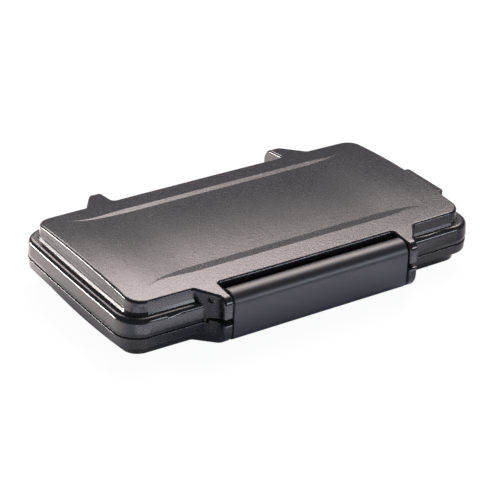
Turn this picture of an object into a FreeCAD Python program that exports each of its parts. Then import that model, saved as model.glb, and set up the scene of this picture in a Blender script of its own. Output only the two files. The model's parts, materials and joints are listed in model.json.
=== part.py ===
import FreeCAD, Part
import math
import os

# Hinged, gasketed hard case for memory cards, shown closed.
# Millimetres. X runs along the case, Y from the latch (front, -Y) to the hinge (back, +Y), Z up.
# The origin is the centre of the flat land on the bottom that the case rests on.

# Cards and the soft trays that hold them
card_length = 32.0
card_width = 24.0
card_clearance = 0.6
card_columns = 3
card_rows = 2
column_wall = 6.5
row_wall = 3.4
pocket_depth = 4.6
pocket_corner = 0.5
tray_edge = 0.5
base_tray_floor = 1.1
lid_tray_floor = 3.9
tray_setback = 0.2
tray_clearance = 0.25

# Shells
wall = 2.0
ledge = 3.3
end_ledge = 4.05
base_floor = 3.2
lid_roof = 1.8
corner_radius = 8.6
side_bow = 0.82
end_bow = 0.43
lid_crown = 1.5
base_crown = 1.7
rest_width = 16.0
parting_gap = 0.3
lid_rim_height = 6.45
base_rim_height = 3.7
rim_draft = 3.8
lid_rim_round = 1.7
base_rim_round = 0.8
base_rim_edge = 0.3
rim_bevel_in = 0.3
rim_bevel_height = 1.3
panel_edge = 0.9
panel_foot = 0.4
panel_foot_drop = 0.65
panel_skirt = 0.35
panel_skirt_height = 0.85

# Shallow panel pressed into the lid's top, with sides that flare and fade towards the ends
panel_half_width = 22.2
panel_half_length = 45.0
panel_flare = 13.0
panel_flare_radius = 18.4
panel_fade = 24.0
panel_fade_steps = 12
panel_run_out = 0.03
panel_depth = 0.34
panel_slope = 8.5
panel_front_slope = 5.5

# Lugs of the latch at the front and ears of the hinge at the back
lug_inner = 34.0
lug_tip = 3.5
lug_slant = 37.3
lug_reach = 6.35
lug_round = 2.9
lug_root_round = 1.2
lug_kink_round = 4.0
lid_lug_root_rise = 1.6
lid_lug_tip_rise = 3.05
base_lug_rise = 0.95
base_lug_round = 5.0
base_lug_gap = 0.8
ear_tip = 3.4
ear_slant = 34.9
ear_kink = 1.0
ear_kink_round = 1.0
ear_round = 4.6

# Hinge
hinge_setback = 4.0
ear_radius = 3.75
knuckle_radius = 3.2
knuckle_length = 14.0
knuckle_web = 3.6
pin_radius = 1.0
hinge_pin_grip = 12.0
pin_recess = 0.4
end_gap = 0.3
press_clearance = 0.02
running_clearance = 0.05

# Latch
latch_setback = 1.2
latch_rise = 1.6
latch_boss = 1.3
latch_round = 4.4
latch_inset = 0.4
latch_plate = 2.3
latch_pin_grip = 9.0
latch_edge = 0.5
latch_bend = 1.0
catch_reach = 2.8
catch_drop = 0.3
catch_thickness = 2.3
catch_edge = 0.4
hook_overlap = 1.2
hook_gap = 0.3
hook_thickness = 3.4
hook_edge = 0.6

# Seal
seal_inset = 2.6
seal_width = 1.8
seal_depth = 1.4
seal_clearance = 0.1
seal_top_gap = 0.05

# Plain tab on the right-hand end of the lid
tab_reach = 5.5
tab_width = 19.8
tab_thickness = 4.0
tab_drop = 0.1
tab_corner = 1.2
tab_edge = 0.6

# Sizes that follow from the ones above
pocket_x = card_length + card_clearance
pocket_y = card_width + card_clearance
tray_length = card_columns * pocket_x + (card_columns + 1) * column_wall
tray_width = card_rows * pocket_y + (card_rows + 1) * row_wall
end_extra = end_ledge - ledge
cavity_inset = ledge + wall
tray_inset = cavity_inset + tray_clearance
half_x = tray_length / 2 + tray_inset + end_extra
half_y = tray_width / 2 + tray_inset
flat_y = half_y - ledge
part_z = base_floor + base_tray_floor + pocket_depth + tray_setback
lid_bottom = part_z + parting_gap
bevel_top = lid_bottom + rim_bevel_height
roof_z = lid_bottom + tray_setback + pocket_depth + lid_tray_floor
lid_edge_z = roof_z + lid_roof
lid_top_z = lid_edge_z + lid_crown
ledge_z = part_z + lid_rim_height
rim_low_z = part_z - base_rim_height
rim_lean = math.tan(math.radians(rim_draft))
slant_lean = math.tan(math.radians(lug_slant))
ear_lean = math.tan(math.radians(ear_slant))
reach_y = half_y + lug_reach
hinge_y = half_y + hinge_setback
hinge_z = lid_top_z / 2
back_y = hinge_y + ear_radius
lug_kink_y = reach_y - lug_round
ear_kink_y = back_y - ear_kink
latch_y = -half_y - latch_setback
latch_z = ledge_z + latch_rise
latch_half = lug_inner - end_gap
boss_radius = pin_radius + latch_boss
tip_x = lug_inner + lug_tip
ear_x = lug_inner + ear_tip
catch_y = -half_y - catch_reach
catch_low_z = part_z - catch_drop - catch_thickness

# Room that cutting shapes run past what they cut, and how close two points count as one
over = 5.0
near = 1e-4


def vec(x, y, z):
    return FreeCAD.Vector(x, y, z)


def arc(first, middle, last):
    return Part.Arc(first, middle, last).toShape()


def line(first, last):
    return Part.LineSegment(first, last).toShape()


def mirror_x(shape):
    return shape.mirror(vec(0, 0, 0), vec(1, 0, 0))


def both_sides(shape):
    return [shape, mirror_x(shape)]


def plan_wire(inset, z, ends=0):
    """Outline of the case, drawn in by inset (and by ends more at its two ends): four bowed sides
    joined by tangent corner arcs."""
    side_radius = half_x ** 2 / (2 * side_bow)
    end_radius = half_y ** 2 / (2 * end_bow)
    side_centre = half_y - side_radius
    end_centre = half_x - ends - end_radius
    to_side = side_radius - corner_radius
    to_end = end_radius - corner_radius
    span = math.hypot(end_centre, side_centre)
    along = (to_side ** 2 - to_end ** 2 + span ** 2) / (2 * span)
    across = math.sqrt(to_side ** 2 - along ** 2)
    unit_x = end_centre / span
    unit_y = -side_centre / span
    corner_x = unit_x * along + unit_y * across
    corner_y = side_centre + unit_y * along - unit_x * across
    scale_side = (side_radius - inset) / to_side
    scale_end = (end_radius - inset) / to_end
    side = (corner_x * scale_side, side_centre + (corner_y - side_centre) * scale_side)
    end = (end_centre + (corner_x - end_centre) * scale_end, corner_y * scale_end)
    lean = math.atan2(side[1] + end[1] - 2 * corner_y, side[0] + end[0] - 2 * corner_x)
    bend = corner_radius - inset
    corner = (corner_x + bend * math.cos(lean), corner_y + bend * math.sin(lean))

    def at(point, sign_x, sign_y):
        return vec(sign_x * point[0], sign_y * point[1], z)

    long_mid = (0, half_y - inset)
    end_mid = (half_x - ends - inset, 0)
    edges = [
        arc(at(side, -1, 1), at(long_mid, 1, 1), at(side, 1, 1)),
        arc(at(side, 1, 1), at(corner, 1, 1), at(end, 1, 1)),
        arc(at(end, 1, 1), at(end_mid, 1, 1), at(end, 1, -1)),
        arc(at(end, 1, -1), at(corner, 1, -1), at(side, 1, -1)),
        arc(at(side, 1, -1), at(long_mid, 1, -1), at(side, -1, -1)),
        arc(at(side, -1, -1), at(corner, -1, -1), at(end, -1, -1)),
        arc(at(end, -1, -1), at(end_mid, -1, 1), at(end, -1, 1)),
        arc(at(end, -1, 1), at(corner, -1, 1), at(side, -1, 1)),
    ]
    return Part.Wire(edges)


def plan_slab(inset, low, high, ends=0):
    return Part.Face(plan_wire(inset, low, ends)).extrude(vec(0, 0, high - low))


def plan_taper(low_inset, low, high_inset, high, ends=0):
    """Slab whose sides lean from one inset at its foot to another at its top."""
    return Part.makeLoft([plan_wire(low_inset, low, ends), plan_wire(high_inset, high, ends)], True, True)


def plan_ring(outer, inner, low, high):
    return plan_slab(outer, low, high).cut(plan_slab(inner, low, high))


def rounded_wire(points):
    """Closed wire in the YZ plane through (y, z, radius) corners, each rounded by its radius."""
    count = len(points)
    starts = []
    ends = []
    mids = []
    for i in range(count):
        here = vec(0, points[i][0], points[i][1])
        before = vec(0, points[i - 1][0], points[i - 1][1]) - here
        after = vec(0, points[(i + 1) % count][0], points[(i + 1) % count][1]) - here
        before.normalize()
        after.normalize()
        half = before.getAngle(after) / 2
        run = points[i][2] / math.tan(half)
        middle = before + after
        middle.normalize()
        starts.append(here + before * run)
        ends.append(here + after * run)
        mids.append(here + middle * (points[i][2] / math.sin(half) - points[i][2]))
    edges = []
    for i in range(count):
        if points[i][2] > 0:
            edges.append(arc(starts[i], mids[i], ends[i]))
        following = starts[(i + 1) % count]
        if ends[i].distanceToPoint(following) > near:
            edges.append(line(ends[i], following))
    return Part.Wire(edges)


def yz_prism(points, x_from, x_to):
    face = Part.Face(rounded_wire(points))
    face.translate(vec(x_from, 0, 0))
    return face.extrude(vec(x_to - x_from, 0, 0))


def x_cylinder(y, z, radius, x_from, x_to):
    return Part.makeCylinder(radius, x_to - x_from, vec(x_from, y, z), vec(1, 0, 0))


def box(x_from, x_to, y_from, y_to, z_from, z_to):
    return Part.makeBox(x_to - x_from, y_to - y_from, z_to - z_from, vec(x_from, y_from, z_from))


def edge_middle(edge):
    return edge.valueAt((edge.FirstParameter + edge.LastParameter) / 2)


def flat_edges_at(shape, z):
    """Edges that lie in the level plane at z."""
    return [e for e in shape.Edges if e.BoundBox.ZMin > z - near and e.BoundBox.ZMax < z + near]


def upright_edges(shape):
    """Straight upright edges with the place each stands at."""
    found = []
    for edge in shape.Edges:
        ends = [v.Point for v in edge.Vertexes]
        if len(ends) == 2 and math.hypot(ends[0].x - ends[1].x, ends[0].y - ends[1].y) < near:
            found.append((edge, abs(ends[0].x), ends[0].y))
    return found


def shared_edges(shape, first, second):
    """Edges of shape that lie on the skins of both solids it was made from."""
    found = []
    for edge in shape.Edges:
        point = Part.Vertex(edge_middle(edge))
        if point.distToShape(first.Shells[0])[0] < near and point.distToShape(second.Shells[0])[0] < near:
            found.append(edge)
    return found


def lug_solid(front, low, high):
    """One right-hand lug: straight inner side, outer side slanted back to the shell."""
    sign = -1 if front else 1
    kink = lug_kink_y if front else ear_kink_y
    end_x = tip_x if front else ear_x
    tip_y = max(reach_y, back_y) + over
    root_y = flat_y - lug_root_round - side_bow
    root_x = end_x + (kink - root_y) * (slant_lean if front else ear_lean)
    corners = [(lug_inner, root_y), (lug_inner, tip_y), (end_x, tip_y), (end_x, kink), (root_x, root_y)]
    points = [vec(x, sign * y, low) for x, y in corners]
    return Part.Face(Part.makePolygon(points + points[:1])).extrude(vec(0, 0, high - low))


def capped_plan(rows, low, high):
    """Upright prism of the raised panel with lugs on the given rows (True is the front)."""
    lugs = []
    for front in rows:
        lugs += both_sides(lug_solid(front, low, high))
    prism = plan_slab(ledge, low, high, end_extra).fuse(lugs).removeSplitter()
    root_limit = max(tip_x + (reach_y - flat_y) * slant_lean, ear_x + (back_y - flat_y) * ear_lean)
    root_limit += lug_root_round
    roots = [e for e, x, y in upright_edges(prism) if x < root_limit and abs(abs(y) - flat_y) < side_bow]
    prism = prism.makeFillet(lug_root_round, roots)
    for front in rows:
        kink = -lug_kink_y if front else ear_kink_y
        bend = lug_kink_round if front else ear_kink_round
        prism = prism.makeFillet(bend, [e for e, _, y in upright_edges(prism) if abs(y - kink) < near])
    return prism


def crown_radius(rise):
    return (flat_y ** 2 + rise ** 2) / (2 * rise)


def crown_wire(sign, rise, edge_z, front_y, front_round, rear_y, rear_round, far_z):
    """Side profile of a crowned panel: arc over the panel, straight runs of its slope out to the lugs.

    sign is 1 for the lid's top and -1 for the base's bottom; far_z closes the profile."""
    radius = crown_radius(rise)
    end_y = flat_y + panel_edge
    slope_angle = math.asin(end_y / radius)
    end_z = edge_z + sign * (rise - radius + math.sqrt(radius ** 2 - end_y ** 2))

    def corner(y, bend):
        side = -1 if y < 0 else 1
        tip_z = end_z - sign * (abs(y) - end_y) * math.tan(slope_angle)
        run = bend / math.tan((math.pi / 2 + slope_angle) / 2)
        on_top = vec(0, y - side * run * math.cos(slope_angle), tip_z + sign * run * math.sin(slope_angle))
        on_face = vec(0, y, tip_z - sign * run)
        middle = vec(0, y - side * bend, tip_z - sign * run)
        lean = math.pi / 4 + slope_angle / 2
        turn = vec(0, side * bend * math.cos(lean), sign * bend * math.sin(lean))
        return on_face, middle + turn, on_top

    front_face, front_mid, front_top = corner(front_y, front_round)
    rear_face, rear_mid, rear_top = corner(rear_y, rear_round)
    front_end = vec(0, -end_y, end_z)
    rear_end = vec(0, end_y, end_z)
    edges = [
        line(vec(0, front_y, far_z), front_face),
        arc(front_face, front_mid, front_top),
        line(front_top, front_end),
        arc(front_end, vec(0, 0, edge_z + sign * rise), rear_end),
        line(rear_end, rear_top),
        arc(rear_top, rear_mid, rear_face),
        line(rear_face, vec(0, rear_y, far_z)),
        line(vec(0, rear_y, far_z), vec(0, front_y, far_z)),
    ]
    return Part.Wire(edges)


def x_prism(wire, x_from, x_to):
    face = Part.Face(wire)
    face.translate(vec(x_from, 0, 0))
    return face.extrude(vec(x_to - x_from, 0, 0))


def panel_half(x):
    """Half width of the pressed panel, to the middle of its sloped side, at a place along the case."""
    past = max(abs(x) - panel_half_length, 0)
    return panel_half_width + panel_flare_radius - math.sqrt(panel_flare_radius ** 2 - past ** 2)


def panel_cutter():
    """What is pressed out of the lid's top: the crown lowered by the depth between gently sloped sides,
    fading to nothing at the ends."""
    radius = crown_radius(lid_crown)
    top = lid_top_z + over

    def crown_z(y):
        return lid_top_z - radius + math.sqrt(radius ** 2 - y ** 2)

    def section(x, drop):
        corners = []
        for sign, slope in ((-1, panel_front_slope), (1, panel_slope)):
            half_side = (drop + panel_run_out) / math.tan(math.radians(slope)) / 2
            foot_y = panel_half(x) - half_side
            edge_y = panel_half(x) + half_side
            corners.append(vec(x, sign * foot_y, crown_z(foot_y) - drop))
            corners.append(vec(x, sign * edge_y, crown_z(edge_y) + panel_run_out))
            corners.append(vec(x, sign * edge_y, top))
        front_foot, front_edge, front_top, back_foot, back_edge, back_top = corners
        edges = [
            arc(front_foot, vec(x, 0, lid_top_z - drop), back_foot),
            line(back_foot, back_edge),
            line(back_edge, back_top),
            line(back_top, front_top),
            line(front_top, front_edge),
            line(front_edge, front_foot),
        ]
        return Part.Wire(edges)

    # Depth along the panel: full in the middle, easing out to just past the surface at the ends
    sections = []
    for step in range(panel_fade_steps + 1):
        run = step / panel_fade_steps
        drop = panel_depth * (1 + math.cos(math.pi * run)) / 2 - panel_run_out * run / 2
        x = panel_half_length + panel_flare - panel_fade * (1 - run)
        sections.insert(0, section(-x, drop))
        sections.append(section(x, drop))
    return Part.makeLoft(sections, True, True)


def make_tab():
    low = ledge_z - tab_drop - tab_thickness
    tab = box(half_x - ledge, half_x + tab_reach, -tab_width / 2, tab_width / 2, low, low + tab_thickness)
    outer = [e for e, x, y in upright_edges(tab) if x > half_x]
    tab = tab.makeFillet(tab_corner, outer)
    return tab.makeFillet(tab_edge, flat_edges_at(tab, low + tab_thickness))


def make_lid_shell():
    rim = plan_taper(0, bevel_top, (ledge_z - bevel_top) * rim_lean, ledge_z)
    rim = rim.makeFillet(lid_rim_round, flat_edges_at(rim, ledge_z))
    bevel = plan_taper(rim_bevel_in, lid_bottom, 0, bevel_top)
    # The panel's walls lean out from below its rounded edge to a wider foot, in a taper that runs on inside,
    # and a short skirt leans out further where they meet the ledge
    foot_height = lid_edge_z - ledge_z - panel_edge - panel_foot_drop
    foot_past = panel_foot_drop / 2
    foot_in = ledge + panel_foot * foot_past / foot_height
    foot = plan_taper(ledge - panel_foot, ledge_z, foot_in, ledge_z + foot_height + foot_past, end_extra)
    skirt_top = ledge - panel_foot * (1 - panel_skirt_height / foot_height)
    skirt = plan_taper(skirt_top - panel_skirt, ledge_z, skirt_top, ledge_z + panel_skirt_height, end_extra)
    prism = capped_plan([True, False], lid_bottom, lid_top_z + over)
    profile = crown_wire(1, lid_crown, lid_edge_z, -reach_y, lug_round, back_y, ear_round, -over)
    top = x_prism(profile, -half_x - over, half_x + over)
    panel = prism.common(top)
    panel = panel.makeFillet(panel_edge, shared_edges(panel, prism, top))

    # Undersides of the front lugs slope up to their tips; the ears stop level with the hinge axis
    under_corners = [
        (-half_y, part_z + lid_lug_root_rise, 0),
        (-half_y, part_z - over, 0),
        (-reach_y - over, part_z - over, 0),
        (-reach_y - over, part_z + lid_lug_tip_rise, 0),
        (-reach_y, part_z + lid_lug_tip_rise, 0),
    ]
    front_under = yz_prism(under_corners, -half_x, half_x)
    back_under = box(-half_x, half_x, half_y, back_y + over, part_z - over, hinge_z)
    panel = panel.cut([front_under, back_under])
    bosses = both_sides(x_cylinder(hinge_y, hinge_z, ear_radius, lug_inner, ear_x))

    shell = rim.fuse([bevel, foot, skirt, panel, make_tab()] + bosses).removeSplitter()
    cavity = plan_slab(cavity_inset, lid_bottom - over, roof_z, end_extra)
    hinge_hole = x_cylinder(hinge_y, hinge_z, pin_radius + running_clearance, -half_x, half_x)
    latch_hole = x_cylinder(latch_y, latch_z, pin_radius + press_clearance, -half_x, half_x)
    return shell.cut([cavity, hinge_hole, latch_hole, panel_cutter()])


def knuckle(x_from, x_to):
    """One barrel of the hinge with the web that carries it on the base's rim."""
    barrel = x_cylinder(hinge_y, hinge_z, knuckle_radius, x_from, x_to)
    reach = knuckle_radius * math.cos(math.pi / 4)
    corners = [
        (half_y - ledge, part_z - parting_gap, 0),
        (half_y - ledge, part_z - knuckle_web, 0),
        (half_y, part_z - knuckle_web, 0),
        (hinge_y + reach, hinge_z - reach, 0),
        (hinge_y, hinge_z, 0),
        (hinge_y - reach, part_z - parting_gap, 0),
    ]
    return barrel.fuse(yz_prism(corners, x_from, x_to))


def make_base_shell():
    rim = plan_taper(base_rim_height * rim_lean, rim_low_z, 0, part_z)
    rim = rim.makeFillet(base_rim_round, flat_edges_at(rim, rim_low_z))
    rim = rim.makeFillet(base_rim_edge, flat_edges_at(rim, part_z))
    radius = crown_radius(base_crown)
    land_sag = radius - math.sqrt(radius ** 2 - (rest_width / 2) ** 2)
    edge_z = base_crown - land_sag
    prism = capped_plan([True], -over, part_z + base_lug_rise)
    rear_y = back_y + over
    profile = crown_wire(-1, base_crown, edge_z, -reach_y, base_lug_round, rear_y, lug_round, part_z + over)
    past_x = half_x + over
    bottom = x_prism(profile, -past_x, past_x)
    panel = prism.common(bottom)
    panel = panel.makeFillet(panel_edge, shared_edges(panel, prism, bottom))
    above = box(-past_x, past_x, -half_y - base_lug_gap, rear_y, part_z - base_rim_edge, part_z + over)
    land = box(-past_x, past_x, -rear_y, rear_y, -over, 0)
    panel = panel.cut([above, land])

    catch_half = latch_half - end_gap
    catch = box(-catch_half, catch_half, catch_y, -half_y + ledge, catch_low_z, part_z - catch_drop)
    catch_front = [e for e in catch.Edges if e.BoundBox.YMax < catch_y + near and e.BoundBox.XLength > wall]
    catch = catch.makeChamfer(catch_edge, catch_front)
    knuckles = both_sides(knuckle(latch_half - knuckle_length, latch_half))
    shell = rim.fuse([panel, catch] + knuckles).removeSplitter()
    cavity = plan_slab(cavity_inset, base_floor, part_z + over, end_extra)
    groove_outer = seal_inset - seal_width / 2
    groove = plan_ring(groove_outer, groove_outer + seal_width, part_z - seal_depth, part_z + over)
    grip_x = latch_half - hinge_pin_grip
    hole = x_cylinder(hinge_y, hinge_z, pin_radius + press_clearance, grip_x, latch_half + over)
    return shell.cut([cavity, groove] + both_sides(hole))


def make_latch():
    """Wide latch plate: rounded over its pins at the top, hooked under the base's catch at the bottom."""
    front = -reach_y + latch_inset
    inner = front + latch_plate
    top = latch_z + boss_radius
    hook_top = catch_low_z - hook_gap
    hook_y = catch_y + hook_overlap
    low = hook_top - hook_thickness
    rear = latch_y + boss_radius
    under = latch_z - boss_radius
    low_round = min(lug_round, hook_y - front - latch_bend)
    top_round = min(latch_round, rear - front - boss_radius)
    corners = [
        (front, low, low_round),
        (front, top, top_round),
        (rear, top, boss_radius),
        (rear, under, boss_radius),
        (inner, under, latch_bend),
        (inner, hook_top, hook_edge),
        (hook_y, hook_top, hook_edge),
        (hook_y, low, latch_bend),
    ]
    plate = yz_prism(corners, -latch_half, latch_half)
    ends = [e for e in plate.Edges if e.BoundBox.XLength < near]
    plate = plate.makeFillet(latch_edge, ends)
    grip_x = latch_half - latch_pin_grip
    hole = x_cylinder(latch_y, latch_z, pin_radius + running_clearance, grip_x, latch_half + over)
    return plate.cut(both_sides(hole))


def make_seal_ring():
    outer = seal_inset - seal_width / 2 + seal_clearance
    inner = seal_inset + seal_width / 2 - seal_clearance
    return plan_ring(outer, inner, part_z - seal_depth, lid_bottom - seal_top_gap)


def make_tray(floor):
    """Soft tray lying on its back, pockets open upwards, seated on z = 0."""
    height = floor + pocket_depth
    tray = plan_slab(tray_inset, 0, height, end_extra)
    tray = tray.makeFillet(tray_edge, flat_edges_at(tray, height))
    cuts = []
    for column in range(card_columns):
        x = (column - (card_columns - 1) / 2) * (pocket_x + column_wall) - pocket_x / 2
        for row in range(card_rows):
            y = (row - (card_rows - 1) / 2) * (pocket_y + row_wall) - pocket_y / 2
            pocket = box(x, x + pocket_x, y, y + pocket_y, floor, height + over)
            cuts.append(pocket.makeFillet(pocket_corner, [e for e, _, _ in upright_edges(pocket)]))
    return tray.cut(cuts)


def make_base_tray():
    tray = make_tray(base_tray_floor)
    tray.translate(vec(0, 0, base_floor))
    return tray


def make_lid_tray():
    tray = make_tray(lid_tray_floor)
    tray.rotate(vec(0, 0, 0), vec(1, 0, 0), 180)
    tray.translate(vec(0, 0, roof_z))
    return tray


def make_hinge_pin():
    return x_cylinder(hinge_y, hinge_z, pin_radius, latch_half - hinge_pin_grip, ear_x - pin_recess)


def make_latch_pin():
    slant_x = tip_x + (lug_kink_y + latch_y) * slant_lean
    return x_cylinder(latch_y, latch_z, pin_radius, latch_half - latch_pin_grip, slant_x - pin_recess)


os.makedirs("parts", exist_ok=True)
nodes = {
    "base_shell": make_base_shell(),
    "lid_shell": make_lid_shell(),
    "latch": make_latch(),
    "seal_ring": make_seal_ring(),
    "base_tray": make_base_tray(),
    "lid_tray": make_lid_tray(),
    "hinge_pin_right": make_hinge_pin(),
    "hinge_pin_left": mirror_x(make_hinge_pin()),
    "latch_pin_right": make_latch_pin(),
    "latch_pin_left": mirror_x(make_latch_pin()),
}
for name, shape in nodes.items():
    shape.exportStep(os.path.join("parts", name + ".step"))
    print(name, shape.isValid(), len(shape.Solids), round(shape.Volume, 1), shape.BoundBox)
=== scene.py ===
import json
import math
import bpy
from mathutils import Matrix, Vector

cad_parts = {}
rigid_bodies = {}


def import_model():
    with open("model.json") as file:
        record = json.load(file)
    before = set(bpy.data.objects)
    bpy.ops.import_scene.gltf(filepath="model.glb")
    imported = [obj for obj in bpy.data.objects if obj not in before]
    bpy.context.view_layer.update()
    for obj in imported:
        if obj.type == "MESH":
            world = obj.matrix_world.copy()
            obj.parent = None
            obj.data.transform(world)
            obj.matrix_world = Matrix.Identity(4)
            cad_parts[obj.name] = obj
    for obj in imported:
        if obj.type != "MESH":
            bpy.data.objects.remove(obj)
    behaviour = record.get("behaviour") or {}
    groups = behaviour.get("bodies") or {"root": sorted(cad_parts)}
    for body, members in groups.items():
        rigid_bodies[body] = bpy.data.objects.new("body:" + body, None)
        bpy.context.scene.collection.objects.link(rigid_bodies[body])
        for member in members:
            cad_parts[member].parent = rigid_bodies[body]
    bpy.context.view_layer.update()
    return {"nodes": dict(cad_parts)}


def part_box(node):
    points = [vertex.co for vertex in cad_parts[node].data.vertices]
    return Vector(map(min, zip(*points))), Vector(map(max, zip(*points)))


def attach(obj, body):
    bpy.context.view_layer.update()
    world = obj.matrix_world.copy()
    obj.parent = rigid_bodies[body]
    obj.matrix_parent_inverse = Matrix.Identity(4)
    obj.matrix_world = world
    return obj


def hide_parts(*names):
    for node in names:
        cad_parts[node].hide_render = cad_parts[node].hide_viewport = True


bl_info = {
    "name": "Memory card case",
    "version": (1, 0, 0),
    "blender": (4, 5, 0),
    "location": "View3D > Sidebar > Card case",
    "description": "Finishes on the case's shells, latch and pins, its soft inner pieces, and a studio",
    "category": "Object",
}

import bmesh
import bpy
from bpy.props import FloatProperty, FloatVectorProperty, PointerProperty
from mathutils import Euler, Matrix, Vector
from mathutils.geometry import tessellate_polygon

# The scene starts empty, and the case's solids are its fixed frame
for stray in list(bpy.data.objects):
    bpy.data.objects.remove(stray)
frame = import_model()

MM = 0.001

# Camera, from lines measured on the photograph: place and near limit in metres, turn in degrees, lens in mm
CAMERA_PLACE = (-0.30993, -0.44208, 0.29779)
CAMERA_TURN = (61.665, -2.216, -33.830)
CAMERA_LENS = 133.14
CAMERA_NEAR = 0.01

# Studio lamps, all facing the case: name, bearing from the front towards the right, height and roll
# in degrees, distance, width and height in metres, radiance, colour
LAMPS = (
    ("back softbox", 150.0, 43.6, -15.0, 1.1, 1.2, 0.3, 9.3, "#FFF1EE"),
    ("high softbox", 116.0, 58.0, 0.0, 1.1, 0.5, 0.46, 5.0, "#FFF1EE"),
    ("left strip", 222.0, 3.2, 0.0, 1.1, 0.6, 0.12, 60.0, "#FFF8F4"),
    ("front strip", 33.0, 14.0, 0.0, 1.1, 0.4, 0.18, 10.0, "#EEF2FF"),
)

# World: a dim tint around the case, and plain white where the camera looks past the floor
WORLD_LIGHT = 0.16
WORLD_TINT = "#D0DCFF"
WORLD_WHITE = "#FFFFFF"

# Floor: its radius in metres, the share and strength of plain white in what the camera sees of it, and
# how far over-lit reflections see it, as a white table is in such a picture
FLOOR_RADIUS = 4.0
FLOOR_STEPS = 64
FLOOR_GLOW = 0.88
FLOOR_WHITE = 1.08
FLOOR_OVERLIT = 3.8
# Painted shade and light of the floor in reflections, in bands from front to back that stand in for the
# case's shadow in front and brighter strips farther out: place in mm from the case's middle, colour
FLOOR_FRONT = -110.0
FLOOR_BACK = 0.0
FLOOR_PAINTED_SHADES = (
    (-100.0, "#7B8190"),
    (-90.0, "#F3F7FF"),
    (-80.0, "#F3F7FF"),
    (-73.0, "#7B8190"),
    (-65.0, "#C4C8DC"),
    (-60.0, "#F3F7FF"),
    (-55.5, "#8890A0"),
    (-48.0, "#959BA9"),
    (-25.0, "#D4D2D0"),
)
# Painted dimming of that shade towards the right: where it starts and where it is least, in mm, and its
# share there
FLOOR_PAINTED_DIM_FROM = 40.0
FLOOR_PAINTED_DIM_TO = 75.0
FLOOR_PAINTED_DIM_SHARE = 0.35

# Range that most of a noise lies in
NOISE_RANGE = (0.3, 0.7)
# Plastics and rubbers: refraction, and the gain of the dye in the darkest and the lightest specks
POLYCARBONATE_IOR = 1.58
RUBBER_IOR = 1.52
LATCH_SPECKS = (0.85, 1.15)
RUBBER_SPECKS = (0.75, 1.25)
# Shells: how far up a face looks where the texture starts and where it is full, and the walls' share of it
SHELL_FACING = (0.85, 0.97)
SHELL_WALL_SHARE = 0.1
SHELL_PIT_BLUR = 0.6
SHELL_PIT_DEPTH = 0.014 * MM
SHELL_CLOUD = 20 * MM
SHELL_ROUGHNESS = (0.13, 0.15)
SHELL_TOP_ROUGHNESS = 0.11
# Gain of the shells' colour in the darkest and the lightest specks, first without texture, then in full
# texture: the grain's own tone, with painted shade of the pits in the dark specks and painted glints in the
# light ones, which also paints the textured top lighter on average
SHELL_SPECK_RANGE = (0.35, 0.65)
SHELL_DARK_SPECK_AND_SHADE_GAIN = (0.45, 0.0)
SHELL_LIGHT_SPECK_AND_GLINT_GAIN = (1.4, 3.4)
# Latch: depth and strength of its pits, size of its cloudiness, roughness
LATCH_PIT_DEPTH = 0.02 * MM
LATCH_PIT_STRENGTH = 0.5
LATCH_CLOUD = 14 * MM
LATCH_ROUGHNESS = (0.35, 0.39)
# Pins: depth and strength of the ground rings, how ragged they run, roughness
PIN_RING_DEPTH = 0.004 * MM
PIN_RING_STRENGTH = 0.3
PIN_RING_RAGGED = 3.0
PIN_ROUGHNESS = (0.22, 0.38)
# A wave node with a scale of 1 runs through this angle in a metre
WAVE_RATE = 20.0
# Rubbers: size of the bloom, how far it changes the roughness, and each rubber's grain, roughness and depth
RUBBER_BLOOM = 12 * MM
RUBBER_BLOOM_STEP = 0.05
SEAL_GRAIN = 0.3 * MM
SEAL_ROUGHNESS = 0.5
SEAL_PIT_DEPTH = 0.01 * MM
TRAY_ROUGHNESS = 0.72
TRAY_PIT_DEPTH = 0.03 * MM

# Points used to draw curves, and the least angle in degrees of an edge that stays sharp
CORNER_STEPS = 10
SIDE_STEPS = 8
END_STEPS = 5
EDGE_STEPS = 4
BEAD_STEPS = 10
SHARP_ANGLE = 35.0


def linear(hex_colour):
    """Linear RGBA of an sRGB hex colour."""
    channels = [int(hex_colour[i:i + 2], 16) / 255 for i in (1, 3, 5)]
    low = [c / 12.92 if c <= 0.04045 else ((c + 0.055) / 1.055) ** 2.4 for c in channels]
    return (*low, 1.0)


def length(name, description, millimetres):
    """A size that a user may change."""
    return FloatProperty(name=name, description=description, default=millimetres * MM,
                         min=0.0, precision=5, unit="LENGTH")


def colour(name, description, hex_colour):
    """A colour that a user may change."""
    return FloatVectorProperty(name=name, description=description, default=linear(hex_colour),
                               size=4, min=0.0, max=1.0, subtype="COLOR")


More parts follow.
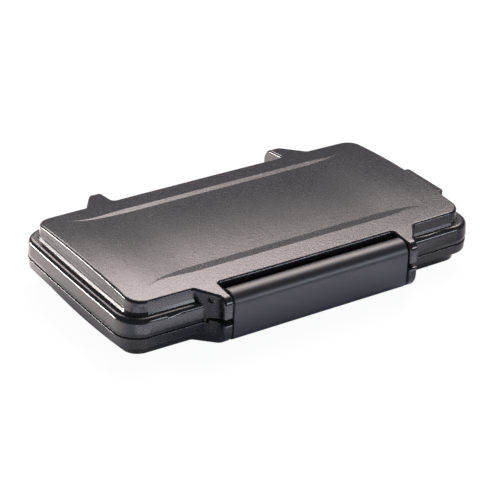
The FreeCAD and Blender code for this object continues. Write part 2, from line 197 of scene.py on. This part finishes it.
class CardCaseSizes(bpy.types.PropertyGroup):
    """Sizes of the soft inner pieces and of the finishes' grain"""

    half_length: length("Half length", "Middle of the case to the middle of its end", 68.2)
    half_width: length("Half width", "Middle of the case to the middle of its side", 35.25)
    side_bow: length("Side bow", "How far a long side swells at its middle", 0.82)
    end_bow: length("End bow", "How far an end swells at its middle", 0.43)
    corner_radius: length("Corner radius", "Radius of the case's upright corners", 8.6)
    seal_inset: length("Seal inset", "Rim's outside to the middle of the seal", 2.6)
    seal_width: length("Seal width", "Width of the seal's bead", 1.6)
    tray_inset: length("Tray inset", "Rim's outside to the tray", 5.55)
    tray_end_inset: length("Tray end inset", "How much further in the tray starts at the ends", 0.75)
    pocket_length: length("Pocket length", "Along the case", 32.6)
    pocket_width: length("Pocket width", "Across the case", 24.6)
    pocket_depth: length("Pocket depth", "Depth that a card lies in", 4.6)
    pocket_corner: length("Pocket corner", "Radius of a pocket's upright corners", 0.9)
    column_wall: length("Column wall", "Between neighbouring pockets along the case", 6.5)
    row_wall: length("Row wall", "Between neighbouring pockets across the case", 3.4)
    lip: length("Lip", "Round on the trays' upper edges", 0.7)
    floor_round: length("Floor round", "Round at the foot of a pocket's walls", 0.6)
    # The shells' real pits are about 0.4 mm wide, too fine to show, so they are drawn wider
    shell_grain: length("Shell grain", "Width of a pit in the shells' texture, as drawn", 1.0)
    latch_grain: length("Latch grain", "Width of a pit in the latch's texture", 0.4)
    tray_grain: length("Tray grain", "Width of a pit in the trays' matt skin", 0.35)
    grind_line: length("Grind line", "Spacing of the rings ground round a pin", 0.12)


class CardCaseColours(bpy.types.PropertyGroup):
    """Colours of the pieces and the studio"""

    shell: colour("Shell", "Charcoal of the two shells", "#262525")
    latch: colour("Latch", "Charcoal of the latch", "#27272A")
    pin: colour("Pin", "Bare steel of the pins", "#BDBDBB")
    seal: colour("Seal", "Black of the seal", "#141415")
    tray: colour("Tray", "Black of the trays", "#1D1D1E")
    paper: colour("Paper", "White of the floor", "#F4F4F4")


def add_node(tree, kind, inputs=None, **settings):
    """Adds a node: settings are its own properties, inputs are values for its sockets or outputs to link."""
    node = tree.nodes.new(kind)
    for key, value in settings.items():
        setattr(node, key, value)
    for key, value in (inputs or {}).items():
        if isinstance(value, bpy.types.NodeSocket):
            tree.links.new(value, node.inputs[key])
        else:
            node.inputs[key].default_value = value
    return node


def remap(tree, value, found, wanted, **settings):
    """Carries a value from the range it is found in to the range that is wanted."""
    node = add_node(tree, "ShaderNodeMapRange",
                    {"Value": value, "From Min": found[0], "From Max": found[1],
                     "To Min": wanted[0], "To Max": wanted[1]}, **settings)
    return node.outputs["Result"]


def between(tree, share, ends):
    """The first end where the share is 0, the second where it is 1."""
    node = add_node(tree, "ShaderNodeMath", {0: share, 1: ends[1] - ends[0], 2: ends[0]},
                    operation="MULTIPLY_ADD")
    return node.outputs["Value"]


def noise(tree, place, size, detail):
    """Noise with marks of about the given size."""
    node = add_node(tree, "ShaderNodeTexNoise",
                    {"Vector": place.outputs["Object"], "Scale": 1 / size, "Detail": detail})
    return node.outputs["Fac"]


def relief(tree, height, depth, strength=1.0):
    """Surface direction over a relief of the given depth."""
    node = add_node(tree, "ShaderNodeBump", {"Height": height, "Strength": strength, "Distance": depth})
    return node.outputs["Normal"]


def scaled(tree, tone, gain):
    """A colour made lighter or darker."""
    node = add_node(tree, "ShaderNodeVectorMath", {0: tone, "Scale": gain}, operation="SCALE")
    return node.outputs["Vector"]


def mixed(tree, share, first, second):
    """The first colour where the share is 0, the second where it is 1."""
    # The node's colour sockets share their names with others, so they are picked by their place
    node = add_node(tree, "ShaderNodeMix", {0: share, 6: first, 7: second}, data_type="RGBA")
    return node.outputs[2]


def new_material(name):
    """An empty material with its tree."""
    material = bpy.data.materials.new(name)
    material.use_nodes = True
    material.node_tree.nodes.clear()
    return material, material.node_tree


def add_surface(tree, inputs):
    """Ends a material's tree with its surface."""
    surface = add_node(tree, "ShaderNodeBsdfPrincipled", inputs)
    add_node(tree, "ShaderNodeOutputMaterial", {"Surface": surface.outputs["BSDF"]})


def polycarbonate_spark_textured(tone, grain):
    """Glass-filled polycarbonate from a spark-eroded mould: a dark satin skin of fine rounded pits that
    breaks reflections up on top, over walls that were polished a little so that they draw from the mould."""
    material, tree = new_material("polycarbonate, spark-textured")
    place = add_node(tree, "ShaderNodeTexCoord")
    facing = add_node(tree, "ShaderNodeSeparateXYZ", {"Vector": place.outputs["Normal"]})
    texture = remap(tree, facing.outputs["Z"], SHELL_FACING, (SHELL_WALL_SHARE, 1.0),
                    interpolation_type="SMOOTHSTEP")
    pits = add_node(tree, "ShaderNodeTexVoronoi",
                    {"Vector": place.outputs["Object"], "Scale": 1 / grain, "Smoothness": SHELL_PIT_BLUR},
                    feature="SMOOTH_F1")
    specks = noise(tree, place, grain / 2, detail=2.0)
    skin = add_node(tree, "ShaderNodeMath", {0: pits.outputs["Distance"], 1: specks}, operation="ADD")
    # Slow cloudiness of the moulding, over a skin that is rougher where it is textured
    cloud = remap(tree, noise(tree, place, SHELL_CLOUD, detail=3.0), NOISE_RANGE, SHELL_ROUGHNESS)
    satin = add_node(tree, "ShaderNodeMath", {0: texture, 1: SHELL_TOP_ROUGHNESS, 2: cloud},
                     operation="MULTIPLY_ADD")
    # Specks of the grain's own tone with painted shade and painted glints of the pits over it, strongest on
    # top, which they paint lighter on average
    gain = remap(tree, specks, SHELL_SPECK_RANGE,
                 (between(tree, texture, SHELL_DARK_SPECK_AND_SHADE_GAIN), between(tree, texture, SHELL_LIGHT_SPECK_AND_GLINT_GAIN)))
    add_surface(tree, {
        "Base Color": scaled(tree, tone[:3], gain),
        "Roughness": satin.outputs["Value"],
        "IOR": POLYCARBONATE_IOR,
        "Normal": relief(tree, skin.outputs["Value"], SHELL_PIT_DEPTH, texture),
    })
    return material


def polycarbonate_satin(tone, grain):
    """Polycarbonate from a stoned mould: smoother than the shells' top, with a soft broad sheen."""
    material, tree = new_material("polycarbonate, satin moulded")
    place = add_node(tree, "ShaderNodeTexCoord")
    pits = noise(tree, place, grain, detail=2.0)
    cloud = noise(tree, place, LATCH_CLOUD, detail=3.0)
    add_surface(tree, {
        "Base Color": scaled(tree, tone[:3], remap(tree, pits, NOISE_RANGE, LATCH_SPECKS)),
        "Roughness": remap(tree, cloud, NOISE_RANGE, LATCH_ROUGHNESS),
        "IOR": POLYCARBONATE_IOR,
        "Normal": relief(tree, pits, LATCH_PIT_DEPTH, LATCH_PIT_STRENGTH),
    })
    return material


def steel_ground(tone, spacing):
    """Stainless steel rod, centreless ground: bright metal with fine rings round its axis."""
    material, tree = new_material("stainless steel, ground")
    place = add_node(tree, "ShaderNodeTexCoord")
    wave = add_node(tree, "ShaderNodeTexWave",
                    {"Vector": place.outputs["Object"], "Scale": math.tau / (WAVE_RATE * spacing),
                     "Distortion": PIN_RING_RAGGED, "Detail": 2.0},
                    bands_direction="X")
    rings = wave.outputs["Fac"]
    add_surface(tree, {
        "Base Color": tone,
        "Metallic": 1.0,
        "Roughness": remap(tree, rings, (0.0, 1.0), PIN_ROUGHNESS),
        "Normal": relief(tree, rings, PIN_RING_DEPTH, PIN_RING_STRENGTH),
    })
    return material


def rubber_moulded(name, tone, grain, roughness, depth):
    """Moulded rubber: dull black with a fine skin, a little greyer where the skin is rough."""
    material, tree = new_material(name)
    place = add_node(tree, "ShaderNodeTexCoord")
    pits = noise(tree, place, grain, detail=3.0)
    bloom = noise(tree, place, RUBBER_BLOOM, detail=4.0)
    dull = (roughness - RUBBER_BLOOM_STEP, roughness + RUBBER_BLOOM_STEP)
    add_surface(tree, {
        "Base Color": scaled(tree, tone[:3], remap(tree, pits, NOISE_RANGE, RUBBER_SPECKS)),
        "Roughness": remap(tree, bloom, NOISE_RANGE, dull),
        "IOR": RUBBER_IOR,
        "Normal": relief(tree, pits, depth),
    })
    return material


def studio_paper(tone):
    """Matt white paper, lifted towards plain white for the camera, so that only a soft shadow shows on it.
    Reflections see it over-lit, with painted shade and light in bands from front to back that stand in for
    the case's shadow in front, and with painted dimming towards the right."""
    material, tree = new_material("studio paper")
    ray = add_node(tree, "ShaderNodeLightPath")
    place = add_node(tree, "ShaderNodeTexCoord")
    across = add_node(tree, "ShaderNodeSeparateXYZ", {"Vector": place.outputs["Object"]})
    depth = remap(tree, across.outputs["Y"], (FLOOR_FRONT * MM, FLOOR_BACK * MM), (0.0, 1.0))
    # Painted shadow and light on the floor, in bands from front to back, seen only in reflections
    painted_shades = add_node(tree, "ShaderNodeValToRGB", {"Fac": depth})
    stops = painted_shades.color_ramp.elements
    while len(stops) < len(FLOOR_PAINTED_SHADES):
        stops.new(1.0)
    for stop, (y, hex_colour) in zip(stops, FLOOR_PAINTED_SHADES):
        stop.position = (y - FLOOR_FRONT) / (FLOOR_BACK - FLOOR_FRONT)
        stop.color = linear(hex_colour)
    # Painted dimming of the floor's reflections towards the right
    painted_dimming = remap(tree, across.outputs["X"], (FLOOR_PAINTED_DIM_FROM * MM, FLOOR_PAINTED_DIM_TO * MM),
                 (FLOOR_OVERLIT, FLOOR_OVERLIT * FLOOR_PAINTED_DIM_SHARE))
    painted_overlit = scaled(tree, painted_shades.outputs["Color"], painted_dimming)
    shade = mixed(tree, ray.outputs["Is Glossy Ray"], tone, painted_overlit)
    matt = add_node(tree, "ShaderNodeBsdfDiffuse", {"Color": shade})
    glow = add_node(tree, "ShaderNodeEmission", {"Strength": FLOOR_WHITE})
    seen = between(tree, ray.outputs["Is Camera Ray"], (0.0, FLOOR_GLOW))
    both = add_node(tree, "ShaderNodeMixShader",
                    {0: seen, 1: matt.outputs["BSDF"], 2: glow.outputs["Emission"]})
    add_node(tree, "ShaderNodeOutputMaterial", {"Surface": both.outputs["Shader"]})
    return material


def dress(node_name, material):
    """Gives a CAD node its finish."""
    piece = frame["nodes"][node_name]
    piece.data.materials.clear()
    piece.data.materials.append(material)


def new_piece(name, mesh, material, body, node):
    """Puts a soft piece in the scene in place of its plain solid."""
    bmesh.ops.recalc_face_normals(mesh, faces=mesh.faces)
    data = bpy.data.meshes.new(name)
    mesh.to_mesh(data)
    mesh.free()
    data.shade_smooth()
    data.set_sharp_from_angle(angle=math.radians(SHARP_ANGLE))
    data.materials.append(material)
    piece = bpy.data.objects.new(name, data)
    bpy.context.scene.collection.objects.link(piece)
    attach(piece, body)
    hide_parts(node)


def spread(first, last, steps):
    """Even values from first to last."""
    return [first + (last - first) * i / steps for i in range(steps + 1)]


def case_outline(sizes, inset, end_inset=0.0):
    """The case's outline drawn in by inset: bowed sides and ends joined by corner arcs."""
    side_radius = sizes.half_length ** 2 / (2 * sizes.side_bow)
    end_radius = sizes.half_width ** 2 / (2 * sizes.end_bow)
    side_y = sizes.half_width - side_radius
    end_x = sizes.half_length - end_inset - end_radius
    # A corner's middle lies as far inside both arcs as its own radius
    to_side = side_radius - sizes.corner_radius
    to_end = end_radius - sizes.corner_radius
    span = math.hypot(end_x, side_y)
    along = (to_side ** 2 - to_end ** 2 + span ** 2) / (2 * span)
    across = math.sqrt(to_side ** 2 - along ** 2)
    corner = Vector((end_x * along - side_y * across, -side_y * along - end_x * across)) / span
    corner.y += side_y
    end_turn = math.atan2(corner.y, corner.x - end_x)
    side_turn = math.atan2(corner.y - side_y, corner.x)
    arcs = (
        (Vector((end_x, 0.0)), end_radius, spread(0.0, end_turn, END_STEPS)),
        (corner, sizes.corner_radius, spread(end_turn, side_turn, CORNER_STEPS)[1:]),
        (Vector((0.0, side_y)), side_radius, spread(side_turn, math.pi / 2, SIDE_STEPS)[1:]),
    )
    quarter = [middle + (radius - inset) * Vector((math.cos(turn), math.sin(turn)))
               for middle, radius, turns in arcs for turn in turns]
    half = quarter + [Vector((-p.x, p.y)) for p in reversed(quarter[:-1])]
    return half + [Vector((p.x, -p.y)) for p in reversed(half[1:-1])]


def pocket_outline(middle, half_x, half_y, radius):
    """A rectangle with rounded corners."""
    points = []
    for quarter, (sign_x, sign_y) in enumerate(((1, 1), (-1, 1), (-1, -1), (1, -1))):
        centre = middle + Vector((sign_x * (half_x - radius), sign_y * (half_y - radius)))
        start = quarter * math.pi / 2
        for turn in spread(start, start + math.pi / 2, CORNER_STEPS):
            points.append(centre + radius * Vector((math.cos(turn), math.sin(turn))))
    return points


def ring_of(mesh, points, z):
    """New corners of a mesh at one height."""
    return [mesh.verts.new((p.x, p.y, z)) for p in points]


def bridge(mesh, first, second):
    """Faces between two rings of as many points."""
    for i in range(len(first)):
        j = (i + 1) % len(first)
        mesh.faces.new((first[i], first[j], second[j], second[i]))


def tray_mesh(sizes, seat, height, up):
    """A soft tray with six pockets: seat is the height of its back, up is 1 or -1 for the way it opens."""
    mesh = bmesh.new()
    quarter_turn = spread(0.0, math.pi / 2, EDGE_STEPS)

    def level(above):
        return seat + up * above

    # Back edge, wall and rounded lip of the tray
    lip = sizes.lip
    profile = [(lip * (1 - math.cos(a)), height - lip * (1 - math.sin(a))) for a in quarter_turn]
    rings = []
    for inset, above in [(0.0, 0.0)] + profile:
        outline = case_outline(sizes, sizes.tray_inset + inset, sizes.tray_end_inset)
        rings.append(ring_of(mesh, outline, level(above)))
    for lower, upper in zip(rings, rings[1:]):
        bridge(mesh, lower, upper)
    mesh.faces.new(rings[0])

    # Pockets: rounded lip, wall and rounded foot
    floor = height - sizes.pocket_depth
    foot = sizes.floor_round
    steps = [(lip * (1 - math.sin(a)), height - lip * (1 - math.cos(a))) for a in quarter_turn]
    steps += [(-foot * (1 - math.cos(a)), floor + foot * (1 - math.sin(a))) for a in quarter_turn]
    mouths = []
    for column in (-1, 0, 1):
        for row in (-0.5, 0.5):
            middle = Vector((column * (sizes.pocket_length + sizes.column_wall),
                             row * (sizes.pocket_width + sizes.row_wall)))
            walls = []
            for out, above in steps:
                outline = pocket_outline(middle, sizes.pocket_length / 2 + out,
                                         sizes.pocket_width / 2 + out, sizes.pocket_corner + out)
                walls.append(ring_of(mesh, outline, level(above)))
            for upper, lower in zip(walls, walls[1:]):
                bridge(mesh, upper, lower)
            mesh.faces.new(walls[-1])
            mouths.append(walls[0])

    # Flat top between the lip and the pockets' mouths
    loops = [rings[-1]] + mouths
    corners = [vert for loop in loops for vert in loop]
    for three in tessellate_polygon([[vert.co for vert in loop] for loop in loops]):
        mesh.faces.new([corners[i] for i in three])
    return mesh


def seal_mesh(sizes, low, high):
    """A bead with a round crown that stands in the rim's groove."""
    mesh = bmesh.new()
    half = sizes.seal_width / 2
    crown = [(half * math.cos(turn), high - half + half * math.sin(turn))
             for turn in spread(0.0, math.pi, BEAD_STEPS)]
    profile = [(half, low)] + crown + [(-half, low)]
    rings = [ring_of(mesh, case_outline(sizes, sizes.seal_inset + aside), z) for aside, z in profile]
    for i, ring in enumerate(rings):
        bridge(mesh, ring, rings[(i + 1) % len(rings)])
    return mesh


def set_floor(scene):
    """A wide disc of paper under the case."""
    disc = bmesh.new()
    bmesh.ops.create_circle(disc, cap_ends=True, segments=FLOOR_STEPS, radius=FLOOR_RADIUS)
    data = bpy.data.meshes.new("floor")
    disc.to_mesh(data)
    disc.free()
    data.materials.append(studio_paper(scene.card_case_colours.paper))
    floor = bpy.data.objects.new("floor", data)
    scene.collection.objects.link(floor)


def set_lamps(scene):
    """The studio lamps, hidden from the camera."""
    for name, bearing, rise, roll, distance, width, height, radiance, tint in LAMPS:
        lamp = bpy.data.lights.new(name, "AREA")
        lamp.shape = "RECTANGLE"
        lamp.size = width
        lamp.size_y = height
        lamp.energy = radiance * math.pi * width * height
        lamp.color = linear(tint)[:3]
        stand = bpy.data.objects.new(name, lamp)
        turn = Euler((math.radians(90 - rise), 0.0, math.radians(bearing))).to_matrix()
        stand.rotation_euler = (turn @ Matrix.Rotation(math.radians(roll), 3, "Z")).to_euler()
        stand.location = distance * turn.col[2]
        stand.visible_camera = False
        scene.collection.objects.link(stand)


def set_world(scene):
    """The light around the stage."""
    world = bpy.data.worlds.new("studio")
    world.use_nodes = True
    tree = world.node_tree
    tree.nodes.clear()
    ray = add_node(tree, "ShaderNodeLightPath")
    seen = ray.outputs["Is Camera Ray"]
    light = add_node(tree, "ShaderNodeBackground",
                     {"Color": mixed(tree, seen, linear(WORLD_TINT), linear(WORLD_WHITE)),
                      "Strength": between(tree, seen, (WORLD_LIGHT, 1.0))})
    add_node(tree, "ShaderNodeOutputWorld", {"Surface": light.outputs["Background"]})
    scene.world = world


def set_camera(scene):
    """The camera, where the photograph was taken from."""
    view = bpy.data.cameras.new("camera")
    view.lens = CAMERA_LENS
    view.clip_start = CAMERA_NEAR
    camera = bpy.data.objects.new("camera", view)
    camera.location = CAMERA_PLACE
    camera.rotation_euler = Euler([math.radians(turn) for turn in CAMERA_TURN])
    scene.collection.objects.link(camera)
    scene.camera = camera


class CARDCASE_OT_shells(bpy.types.Operator):
    """Gives the lid and the base their moulded texture"""

    bl_idname = "cardcase.shells"
    bl_label = "Finish the shells"

    def execute(self, context):
        scene = context.scene
        tone = scene.card_case_colours.shell
        skin = polycarbonate_spark_textured(tone, scene.card_case_sizes.shell_grain)
        dress("lid_shell", skin)
        dress("base_shell", skin)
        return {"FINISHED"}


class CARDCASE_OT_latch(bpy.types.Operator):
    """Gives the latch its satin finish"""

    bl_idname = "cardcase.latch"
    bl_label = "Finish the latch"

    def execute(self, context):
        scene = context.scene
        tone = scene.card_case_colours.latch
        dress("latch", polycarbonate_satin(tone, scene.card_case_sizes.latch_grain))
        return {"FINISHED"}


class CARDCASE_OT_pins(bpy.types.Operator):
    """Gives the hinge's and the latch's pins their ground steel"""

    bl_idname = "cardcase.pins"
    bl_label = "Finish the pins"

    def execute(self, context):
        scene = context.scene
        steel = steel_ground(scene.card_case_colours.pin, scene.card_case_sizes.grind_line)
        for node in ("hinge_pin_left", "hinge_pin_right", "latch_pin_left", "latch_pin_right"):
            dress(node, steel)
        return {"FINISHED"}


class CARDCASE_OT_seal(bpy.types.Operator):
    """Makes the rubber seal in the base's rim"""

    bl_idname = "cardcase.seal"
    bl_label = "Make the seal"

    def execute(self, context):
        scene = context.scene
        rubber = rubber_moulded("silicone rubber, moulded", scene.card_case_colours.seal,
                                SEAL_GRAIN, SEAL_ROUGHNESS, SEAL_PIT_DEPTH)
        low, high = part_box("seal_ring")
        bead = seal_mesh(scene.card_case_sizes, low.z, high.z)
        new_piece("seal_bead", bead, rubber, "base", "seal_ring")
        return {"FINISHED"}


class CARDCASE_OT_trays(bpy.types.Operator):
    """Makes the soft trays of the base and the lid"""

    bl_idname = "cardcase.trays"
    bl_label = "Make the trays"

    def execute(self, context):
        scene = context.scene
        sizes = scene.card_case_sizes
        rubber = rubber_moulded("thermoplastic rubber, matt moulded", scene.card_case_colours.tray,
                                sizes.tray_grain, TRAY_ROUGHNESS, TRAY_PIT_DEPTH)
        low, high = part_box("base_tray")
        tray = tray_mesh(sizes, low.z, high.z - low.z, 1)
        new_piece("base_tray_soft", tray, rubber, "base", "base_tray")
        low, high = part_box("lid_tray")
        tray = tray_mesh(sizes, high.z, high.z - low.z, -1)
        new_piece("lid_tray_soft", tray, rubber, "lid", "lid_tray")
        return {"FINISHED"}


class CARDCASE_OT_stage(bpy.types.Operator):
    """Makes the floor, the lamps, the world and the camera"""

    bl_idname = "cardcase.stage"
    bl_label = "Set the stage"

    def execute(self, context):
        scene = context.scene
        scene.view_settings.view_transform = "Standard"
        set_floor(scene)
        set_lamps(scene)
        set_world(scene)
        set_camera(scene)
        return {"FINISHED"}


MAKERS = (
    CARDCASE_OT_shells,
    CARDCASE_OT_latch,
    CARDCASE_OT_pins,
    CARDCASE_OT_seal,
    CARDCASE_OT_trays,
    CARDCASE_OT_stage,
)


class CARDCASE_PT_panel(bpy.types.Panel):
    """Lists the case's pieces with their sizes and colours"""

    bl_idname = "CARDCASE_PT_panel"
    bl_label = "Memory card case"
    bl_space_type = "VIEW_3D"
    bl_region_type = "UI"
    bl_category = "Card case"

    def draw(self, context):
        for maker in MAKERS:
            self.layout.operator(maker.bl_idname)
        for group in (context.scene.card_case_sizes, context.scene.card_case_colours):
            box = self.layout.box()
            for name in group.__annotations__:
                box.prop(group, name)


CLASSES = (CardCaseSizes, CardCaseColours, *MAKERS, CARDCASE_PT_panel)


def register():
    for cls in CLASSES:
        bpy.utils.register_class(cls)
    bpy.types.Scene.card_case_sizes = PointerProperty(type=CardCaseSizes)
    bpy.types.Scene.card_case_colours = PointerProperty(type=CardCaseColours)


def unregister():
    del bpy.types.Scene.card_case_colours
    del bpy.types.Scene.card_case_sizes
    for cls in reversed(CLASSES):
        bpy.utils.unregister_class(cls)


def main():
    register()
    bpy.ops.cardcase.shells()
    bpy.ops.cardcase.latch()
    bpy.ops.cardcase.pins()
    bpy.ops.cardcase.seal()
    bpy.ops.cardcase.trays()
    bpy.ops.cardcase.stage()


if __name__ == "__main__":
    main()
